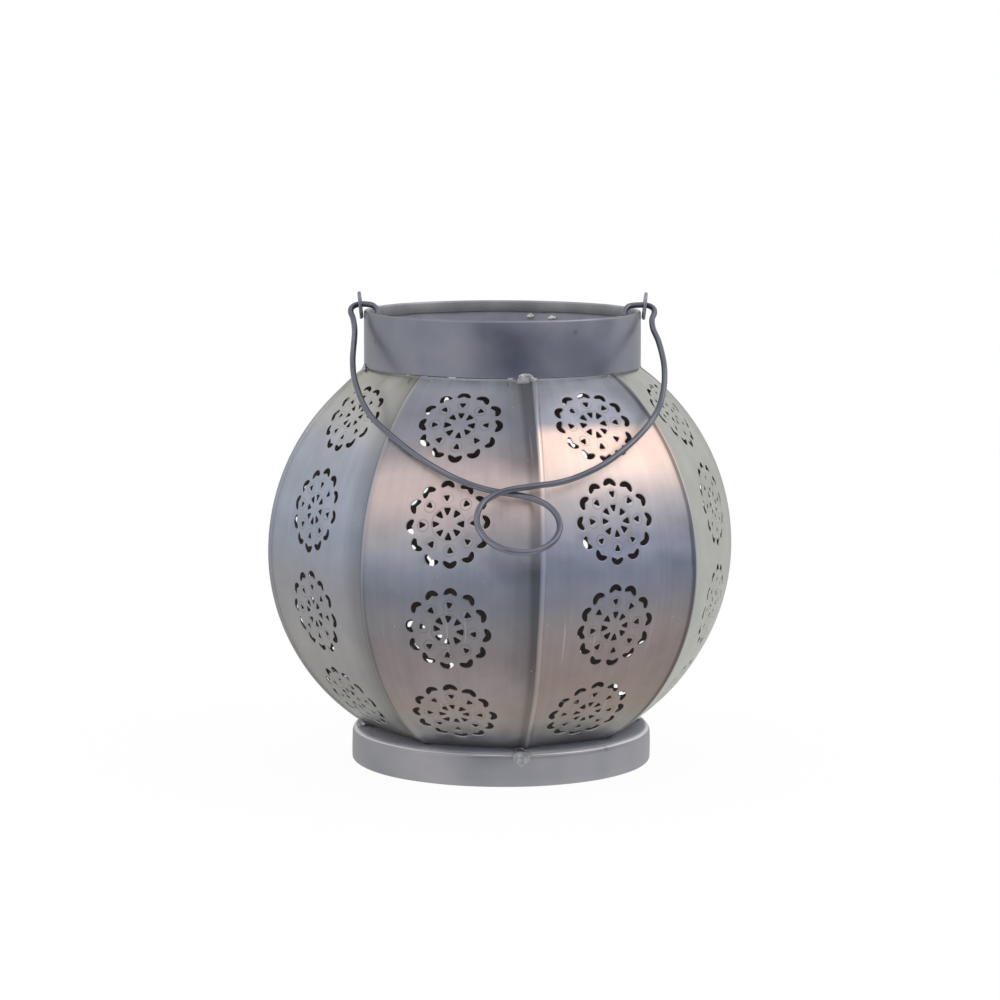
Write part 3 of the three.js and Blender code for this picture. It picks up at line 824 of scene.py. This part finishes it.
def makeCollar():
    radius, low, high = collarHigh.x, collarLow.z, collarHigh.z
    sheet = collar["sheet"]
    fold = sheet + collar["slit"] / 2
    inner = radius - sheet
    hemEdge = high - collar["hem"]
    edge, row = collar["edge"], collar["edgeRow"]
    profile = [(radius, low + edge), (radius, low + row)]
    profile += [(radius, lerp(low, high, t)) for t in (0.3, 0.6)]
    profile += arcPoints((radius - fold, high - fold), fold, 0, 180, 8)
    innerStart = len(profile) - 5  # the top of the fold
    profile += [(radius - 2 * fold, lerp(hemEdge, high, 0.5))]
    hemStart = len(profile)
    profile += arcPoints((radius - 2 * fold + sheet / 2, hemEdge + sheet / 2), sheet / 2, 180, 360, 4)
    hemEnd = len(profile)
    profile += [(radius - 2 * fold + sheet, lerp(hemEdge, high, 0.5)),
                (radius - fold, high - sheet - collar["foldGap"])]
    profile += [(inner, lerp(hemEdge, high, 0.5)), (inner, hemEdge), (inner, lerp(low, high, 0.4)),
                (inner, low + row), (inner, low + edge)]
    innerEnd = len(profile) - 1
    profile += [(inner + edge, low), (radius - edge, low)]
    lap = collar["lap"]

    def shape(angle, r, z, i):
        x, y = [collar["waveRadius"] * share for share in (math.sin(angle), math.cos(angle))]
        lift = lerp(collar["bulgeFoot"], 1, smoothstep(low, high, z))
        shift = collar["bulge"] * lift * (wave(collar["bulgeSize"], x, y, z) - collar["bulgeIn"])
        rise = collar["hemRagged"] * wave(collar["raggedSize"], x, y, 400) if hemStart <= i < hemEnd else 0
        if innerStart < i <= innerEnd and abs(math.degrees(angle) - lap["angle"]) < lap["half"]:
            shift -= lap["step"]
            rise *= 2
        return r + shift, z + rise

    piece = turnedPiece("collar_ring", profile, collar["steps"], shape, [collarSheet, hemSheet, millSheet],
                        {i: 1 if i < hemEnd else 2 for i in range(innerStart, innerEnd)})
    standFor(piece, "lantern", "plain_sheet", "collar")


makeCollar()
print("collar made")


# Base pan: a pressed disc, its wall turned down and the edge folded up inside

basePan = {
    "sheet": 0.8, "corner": 3.2, "hem": 5, "slit": 0.14, "steps": 192, "underFoot": 0.5, "paintedHighlight": (3, 4, 5),
    "bulge": 0.3, "bulgeSize": 24, "bulgeIn": 0.4, "waveRadius": 66, "foldGap": 0.02,
    "dent": {"angle": -4, "width": 9, "height": -3.4, "drop": 2.6, "depth": 0.35},
}


def footOutline(angle):
    # the radius of the globe's eight-sided foot in this direction, where its nearest side lies
    return min(footRadius * math.cos(half) / math.cos(angle - middle)
               for middle, half in goreSpans if math.cos(angle - middle) > 0)


def makeBasePan():
    radius, low = baseHigh.x, baseLow.z
    sheet, corner = basePan["sheet"], basePan["corner"]
    fold = sheet + basePan["slit"] / 2
    bendRadius = radius - corner
    inner = radius - sheet
    hemTop = low + basePan["hem"]
    profile = [(0, -sheet), (bendRadius * 0.5, -sheet)]
    profile += arcPoints((bendRadius, -corner), corner - sheet, 90, 0, 5)
    profile += [(inner, hemTop), (inner, lerp(low, hemTop, 0.4)),
                (radius - fold, low + sheet + basePan["foldGap"]),
                (inner - basePan["slit"], lerp(low, hemTop, 0.4))]
    profile += arcPoints((radius - 2 * fold + sheet / 2, hemTop - sheet / 2), sheet / 2, 0, 180, 4)
    profile += arcPoints((radius - fold, low + fold), fold, 180, 360, 8)
    profile += [(radius, lerp(low, -corner, t)) for t in (0.3, 0.55, 0.8)]
    cornerStart = len(profile)
    profile += arcPoints((bendRadius, -corner), corner, 0, 90, 8)
    profile += [(lerp(bendRadius, footRadius, t), 0) for t in (0.4, 0.8)]
    innerStart = len(profile)
    profile += [(footRadius, 0), (footRadius * 0.7, 0), (footRadius * 0.4, 0), (0, 0)]
    dent = basePan["dent"]

    def shape(angle, r, z, i):
        if i == innerStart:
            return footOutline(angle) - basePan["underFoot"], z
        x, y = [basePan["waveRadius"] * share for share in (math.sin(angle), math.cos(angle))]
        wall = smoothstep(bendRadius, radius, r)
        shift = basePan["bulge"] * wall * (wave(basePan["bulgeSize"], x, y, 2 * z) - basePan["bulgeIn"])
        turn = math.degrees(math.atan2(x, y)) - dent["angle"]
        away = (turn / dent["width"]) ** 2 + ((z - dent["height"]) / dent["drop"]) ** 2
        return r + shift - wall * dent["depth"] * max(0, 1 - away), z

    # the base's floor inside the globe gets the dark inner iron, partly as painted shade
    bands = {i: 1 for i in range(innerStart, len(profile) - 1)}
    # painted highlight on the rounded top edge of the base
    bands.update({cornerStart + i: 2 for i in basePan["paintedHighlight"]})
    bands.update({i: 3 for i in range(cornerStart + max(basePan["paintedHighlight"]) + 1, innerStart)})
    piece = turnedPiece("base_pan_pressing", profile, basePan["steps"], shape,
                        [baseSheet, innerSheet, highlitEdge, ringSheet], bands)
    standFor(piece, "lantern", "plain_sheet", "base_pan")


makeBasePan()
print("base pan made")


# Ears: two tabs of thicker sheet with filed edges, standing against the collar's rim on the outside

ear = {
    "width": 10, "thickness": 1.4, "drop": 3.8, "rise": 8.7, "lean": 6, "play": 0.85, "clearance": 0.3,
    "edge": 0.28, "around": 48, "search": 0.05,  # the outline is found in steps of search
}
wire = {"diameter": 2.5, "hingeRise": 2.6}
earTilt = math.radians(ear["lean"])
earFoot = collarHigh.x + ear["clearance"]
earMiddle = earFoot + (ear["drop"] + wire["hingeRise"]) * math.tan(earTilt)
earMiddle += ear["thickness"] / (2 * math.cos(earTilt))
hingeHeight = collarHigh.z + wire["hingeRise"]


def makeEar(name, side, node):
    crown = ear["width"] / 2
    top = ear["drop"] + ear["rise"] - crown
    hole = (ear["drop"] + wire["hingeRise"] + ear["thickness"] / 2 * math.sin(earTilt)) / math.cos(earTilt)
    inner = arcPoints((0, hole), wire["diameter"] / 2 + ear["play"], -90, 270, ear["around"])[:-1]
    outer = []
    for x, y in inner:
        # the outline point in the same direction from the hole: sides, foot or round top
        run = Vector((x, y - hole)).normalized()
        reach = 0
        outside = False
        while not outside:
            reach += ear["search"]
            px, py = run.x * reach, hole + run.y * reach
            outside = abs(px) > crown or py < 0 or (py > top and math.hypot(px, py - top) > crown)
        outer.append((px, py))
    bevel = ear["edge"]
    thick = ear["thickness"]
    tilt = Matrix.Rotation(earTilt, 3, "Y")
    foot = Vector((earFoot, 0, collarHigh.z - ear["drop"]))
    rings = []
    for outline, depth, spread in (
            (inner, 0, bevel), (inner, bevel, 0), (inner, thick - bevel, 0), (inner, thick, bevel),
            (outer, thick, -bevel), (outer, thick - bevel, 0), (outer, bevel, 0), (outer, 0, -bevel)):
        ring = []
        for x, y in outline:
            run = Vector((x, y - hole)).normalized() * spread
            place = tilt @ Vector((depth, x + run.x, y + run.y)) + foot
            ring.append((side * place.x, side * place.y, place.z))
        rings.append(ring)
    piece = sweptPiece(name, rings, [collarSheet], endless=True)
    standFor(piece, "lantern", "plain_sheet", node)


makeEar("ear_tab_right", 1, "ear_right")
makeEar("ear_tab_left", -1, "ear_left")
print("ears made")


# Bail: one hand-bent wire with a twisted loop, resting on the globe. Points are (out, along) in mm from the
# ear or, for the tails, from the end's drop, in the plane of the bail.

bail = {
    "lean": 55.9, "strandGap": 0.3, "sides": 16, "perSpan": 12, "uneven": 0.025, "unevenSize": 8,
    "fuller": 0.11,  # the wire is drawn this much fuller all round, as it measures in the photograph
    "caps": [(0.0, 0.8), (0.1, 0.94), (0.25, 1.0)],  # its cut ends, slightly rounded: (back, size) in radii
    "loopRadii": (18.1, 19.2), "loopCentre": (7.1, 152.5), "loopSkew": 0.07, "loopStart": 24, "loopPoints": 9,
    "leftTail": 8.4, "rightTail": 9.8,
    "tailBend": [(0, 9), (0.4, 4.4), (2.6, 0.9)],
    "earBend": [(-2.4, 0), (0, 0), (2.4, 0.9), (4, 2.9), (4.3, 5.8), (3.1, 10.6)],
    "leftArm": [(2, 19.4), (2.1, 42.7), (0.5, 57.1), (-6.4, 79.2), (-19.5, 98.1), (-33.2, 113.1)],
    "leftCrossing": [(-47, 123.4), (-59.2, 129)],
    "rightArm": [(3.3, 17.4), (5.6, 27.3), (7.6, 46.6), (6.1, 66.1), (2.4, 79.7), (-6.1, 95.2), (-21, 113.2),
                 (-34.5, 123)],
    "rightCrossing": [(-43.4, 127.5), (-52.2, 130.2)],
}


def bailPoints():
    lift = wire["diameter"] / 2 + bail["strandGap"]

    def strand(side, tail, arm, crossing):
        run = [(side * (earMiddle - tail + out), along, 0) for out, along in bail["tailBend"]]
        run += [(side * (earMiddle + out), along, 0) for out, along in bail["earBend"] + arm]
        return run + [(side * (earMiddle + out), along, side * lift * (i + 1) / len(crossing))
                      for i, (out, along) in enumerate(crossing)]

    loop = []
    for i in range(bail["loopPoints"] + 1):
        share = i / bail["loopPoints"]
        angle = math.radians(lerp(bail["loopStart"], 360 - bail["loopStart"], share))
        across = bail["loopRadii"][0] * math.sin(angle)
        along = bail["loopCentre"][1] + bail["loopSkew"] * across - bail["loopRadii"][1] * math.cos(angle)
        loop.append((bail["loopCentre"][0] + across, along, lerp(-lift, lift, share)))
    left = strand(-1, bail["leftTail"], bail["leftArm"], bail["leftCrossing"])
    right = strand(1, bail["rightTail"], bail["rightArm"], bail["rightCrossing"])
    hang = Matrix.Rotation(-math.radians(bail["lean"]), 3, "X")
    hinge = Vector((0, 0, hingeHeight))
    return [hang @ Vector((across, -up, -along)) + hinge for across, along, up in left + loop + right[::-1]]


def smoothRun(points, perSpan):
    # a centripetal curve through all the points
    ends = [2 * points[0] - points[1]] + points + [2 * points[-1] - points[-2]]
    run = []
    for p0, p1, p2, p3 in zip(ends, ends[1:], ends[2:], ends[3:]):
        d0, d1, d2 = [max((b - a).length ** 0.5, 1e-4) for a, b in ((p0, p1), (p1, p2), (p2, p3))]
        t1 = ((p1 - p0) / d0 - (p2 - p0) / (d0 + d1) + (p2 - p1) / d1) * d1
        t2 = ((p2 - p1) / d1 - (p3 - p1) / (d1 + d2) + (p3 - p2) / d2) * d1
        for i in range(perSpan):
            t = i / perSpan
            run.append(p1 * (2 * t ** 3 - 3 * t ** 2 + 1) + t1 * (t ** 3 - 2 * t ** 2 + t)
                       + p2 * (3 * t ** 2 - 2 * t ** 3) + t2 * (t ** 3 - t ** 2))
    return run + [points[-1]]


def makeBail():
    path = smoothRun(bailPoints(), bail["perSpan"])
    radius = wire["diameter"] / 2 + bail["fuller"]
    tangents = [(b - a).normalized() for a, b in zip([path[0]] + path, path[1:] + [path[-1]])]
    up = Vector((0, 1, 0))
    frames = []
    for tangent in tangents:
        up = (up - tangent * up.dot(tangent)).normalized()
        frames.append((up.cross(tangent), up))
    caps = bail["caps"]
    run = [path[0] + tangents[0] * radius * back for back, _ in caps] + path[1:-1]
    run += [path[-1] - tangents[-1] * radius * back for back, _ in caps[::-1]]
    allFrames = frames[:1] * len(caps) + frames[1:-1] + frames[-1:] * len(caps)
    capSizes = [size for _, size in caps]
    sizes = capSizes + [1.0] * (len(path) - 2) + capSizes[::-1]
    grows = [size * (1 + bail["uneven"] * wave(bail["unevenSize"], 3.0 * i, 0.4, 7))
             for i, size in enumerate(sizes)]
    circle = arcPoints((0, 0), radius, 0, 360, bail["sides"])[:-1]
    rings = [[at + (side * a + up * b) * grow for a, b in circle]
             for at, (side, up), grow in zip(run, allFrames, grows)]
    piece = sweptPiece("bail_wire", rings, [wireMetal])
    along = [0.0]
    for a, b in zip(run, run[1:]):
        along.append(along[-1] + (b - a).length)
    giveAttributes(piece, wirePlace=[(length, a, b) for length in along for a, b in circle])
    standFor(piece, "bail", "drawn_wire", "bail_handle")


makeBail()
print("bail made")


# Welds: lumps run on at every second seam, under the collar and at the foot, where the front and back ones
# ran down over the edge of the base. Each is a few flat drops (across, outwards, up, then their half sizes)
# joined and smoothed, in mm from the sheet's edge.

weld = {
    "voxel": 0.3, "grain": 0.16, "grainSize": 1.4, "slack": 0.35, "sizeSlack": 3, "smoothing": 12,
    "seeds": {"top": 10, "foot": 20, "solder": 30},
    "top": [(2.7, 0.2, -0.6, 5.0, 0.9, 1.3), (2.4, 0.1, 0.6, 3.3, 0.7, 1.5), (5.8, 0.3, -0.3, 2.0, 0.7, 1.1),
            (1.0, 0.7, -1.7, 3.2, 0.9, 1.1)],
    "run": [(-0.6, -5.6, 0.5, 2.4, 2.0, 1.0), (-0.2, -2.8, 0.2, 3.4, 2.3, 0.8),
            (0.2, -0.7, -1.5, 4.9, 0.9, 1.9), (0.4, -0.3, -3.1, 3.6, 0.7, 2.2),
            (0.5, -0.2, -4.6, 1.9, 0.6, 2.0)],
    "spot": [(0, -5.8, 0.7, 2.0, 1.6, 1.3), (0.4, -3.6, 0.2, 1.7, 1.5, 0.8)],
    "solder": [(-0.7, 0, 0.1, 1.6, 0.7, 1.0), (0.7, 0, -0.2, 1.5, 0.8, 1.1), (0.2, 0, 0.6, 0.9, 0.6, 0.7)],
}


def makeWeld(name, metal, azimuth, radius, height, drops, seed, *nodes):
    draw = random.Random(seed)
    work = bmesh.new()
    for x, outward, z, *sizes in drops:
        across, up, grow = [draw.uniform(-1, 1) * weld["slack"] for _ in range(3)]
        place = turnTo(azimuth, x + across, radius + outward, height + z + up)
        sizes = [size * (1 + grow / weld["sizeSlack"]) * mm for size in sizes]
        turn = Matrix.Rotation(azimuth, 4, "Z") @ Matrix.Diagonal(sizes + [1])
        put = Matrix.Translation(Vector(place) * mm) @ turn
        bmesh.ops.create_icosphere(work, subdivisions=3, radius=1, matrix=put)
    mesh = bpy.data.meshes.new(name)
    work.to_mesh(mesh)
    work.free()
    piece = bpy.data.objects.new(name, mesh)
    scene.collection.objects.link(piece)
    joined = piece.modifiers.new("join", "REMESH")
    joined.mode = "VOXEL"
    joined.voxel_size = weld["voxel"] * mm
    soft = piece.modifiers.new("soft", "SMOOTH")
    soft.iterations = weld["smoothing"]
    deps = bpy.context.evaluated_depsgraph_get()
    lump = bpy.data.meshes.new_from_object(piece.evaluated_get(deps))
    piece.modifiers.clear()
    piece.data = lump
    bpy.data.meshes.remove(mesh)
    lump.name = name
    for vertex in lump.vertices:
        push = wave(weld["grainSize"], *(vertex.co / mm)) * weld["grain"]
        vertex.co += vertex.normal * push * mm
    lump.materials.clear()
    lump.materials.append(metal)
    lump.shade_smooth()
    standFor(piece, "lantern", "weld_metal", *nodes)


for i, angle in enumerate(seamAngles[::2]):
    foot = weld["run" if i % 2 == 0 else "spot"]
    makeWeld(f"weld_lump_top_{i + 1}", weldMetal, angle, collarHigh.x, collarLow.z, weld["top"],
             weld["seeds"]["top"] + i, f"weld_top_{i + 1}")
    makeWeld(f"weld_lump_foot_{i + 1}", weldMetal, angle, baseHigh.x, 0, foot,
             weld["seeds"]["foot"] + i, f"weld_bottom_{i + 1}")
lapRadius = collarHigh.x - collar["sheet"] - collar["lap"]["step"]
for i, (angle, drop) in enumerate(collar["solder"]):
    makeWeld(f"solder_spot_{i + 1}", solderMetal, math.radians(angle), lapRadius, collarHigh.z + drop,
             weld["solder"], weld["seeds"]["solder"] + i)
print("welds made")


# Floor, light and world: the floor's size and the lamps in m, the rest in mm

stage = {
    "floorSize": 3.0, "floorRows": 13, "floorDrop": 0.05, "fibre": 4,
    "floorColour": "#fafafa", "floorGlow": 0.95, "white": "#ffffff", "skyLight": 1.0,
    "key": {"place": (1.38, -0.32, 1.55), "size": 0.9, "power": 5},
    "fill": {"place": (-1.3, -0.7, 1.4), "size": 1.2, "power": 2},
    "card": {"run": [(-360, -800), (700, -800), (1000, -500), (1000, 200)], "low": -12, "high": 300,
             "fade": (-700, 900), "colours": ("#424e6c", "#8d93a2")},
}


def shownRays(add):
    # 1 for what the camera sees, straight or in metal
    rays = add("LightPath").outputs
    mirror = add("Math", [rays["Is Camera Ray"], rays["Is Glossy Ray"]], operation="MAXIMUM")
    return add("Math", [mirror, rays["Is Transmission Ray"]], operation="MAXIMUM")


def paperFloor():
    # Matt white paper, lit through from below: even and white, it keeps only a trace of shadow. Its fibres
    # are drawn coarser than real, which would be too fine to see.
    material, add = newMaterial("paper_white_matt")
    at = add("TexCoord").outputs["Object"]
    fibre = add("TexNoise", {"Vector": at, "Scale": 1 / mm / stage["fibre"], "Detail": 2})
    bump = add("Bump", {"Strength": 0.03, "Distance": 0.0002, "Height": fibre})
    colour = linear(stage["floorColour"])
    paper = add("BsdfPrincipled", {"Base Color": colour, "Roughness": 0.9, "Normal": bump})
    glow = add("Emission", [linear(stage["white"]), 1.0])
    share = add("Math", [shownRays(add), stage["floorGlow"]], operation="MULTIPLY")
    mix = add("MixShader", [share, paper, glow])
    add("OutputMaterial", [mix])
    return material


def makeFloor():
    half = stage["floorSize"] / 2 / mm
    low = baseLow.z - stage["floorDrop"]
    count = stage["floorRows"]
    row = [lerp(-half, half, i / (count - 1)) for i in range(count)]
    points = [(x, y, low) for y in row for x in row]
    faces = [[j * count + i, j * count + i + 1, (j + 1) * count + i + 1, (j + 1) * count + i]
             for j in range(count - 1) for i in range(count - 1)]
    floor = meshPiece("paper_floor", points, faces, [paperFloor()])


def makeLamp(name, settings):
    data = bpy.data.lights.new(name, "AREA")
    data.size = settings["size"]
    data.energy = settings["power"]
    lamp = bpy.data.objects.new(name, data)
    lamp.location = settings["place"]
    aim = Vector((0, 0, globe["equatorHeight"] * mm)) - lamp.location
    lamp.rotation_euler = aim.to_track_quat("-Z", "Y").to_euler()
    scene.collection.objects.link(lamp)


def makeCard():
    # a dark card in front, seen only in reflections, as metal is photographed on white; it bends back at its
    # right end and pales towards it
    size = stage["card"]
    points = [(x, y, z) for x, y in size["run"] for z in (size["low"], size["high"])]
    faces = [[2 * i, 2 * i + 2, 2 * i + 3, 2 * i + 1] for i in range(len(size["run"]) - 1)]
    material, add = newMaterial("card_dark_matt")
    at = add("TexCoord").outputs["Object"]
    along = add("VectorMath", [at, (1, 1, 0)], operation="DOT_PRODUCT").outputs[1]
    fade = add("MapRange", [along, *[place * mm for place in size["fade"]]])
    colour = add("ValToRGB", [fade], zip((0, 1), size["colours"]))
    closeMaterial(add, Base_Color=colour, Roughness=0.9)
    card = meshPiece("dark_card", points, faces, [material])
    for rays in ("camera", "diffuse", "shadow", "transmission"):
        setattr(card, "visible_" + rays, False)


def makeWorld():
    world = bpy.data.worlds.new("white_studio")
    world.use_nodes = True
    world.node_tree.nodes.clear()
    add = partial(addNode, world.node_tree)
    light = add("Background", [linear(stage["white"]), stage["skyLight"]])
    white = add("Background", [linear(stage["white"]), 1.0])
    mix = add("MixShader", [shownRays(add), light, white])
    add("OutputWorld", [mix])
    scene.world = world


makeFloor()
makeLamp("key_lamp", stage["key"])
makeLamp("fill_lamp", stage["fill"])
makeCard()
makeWorld()
scene.view_settings.view_transform = "Standard"
print("stage and light set")
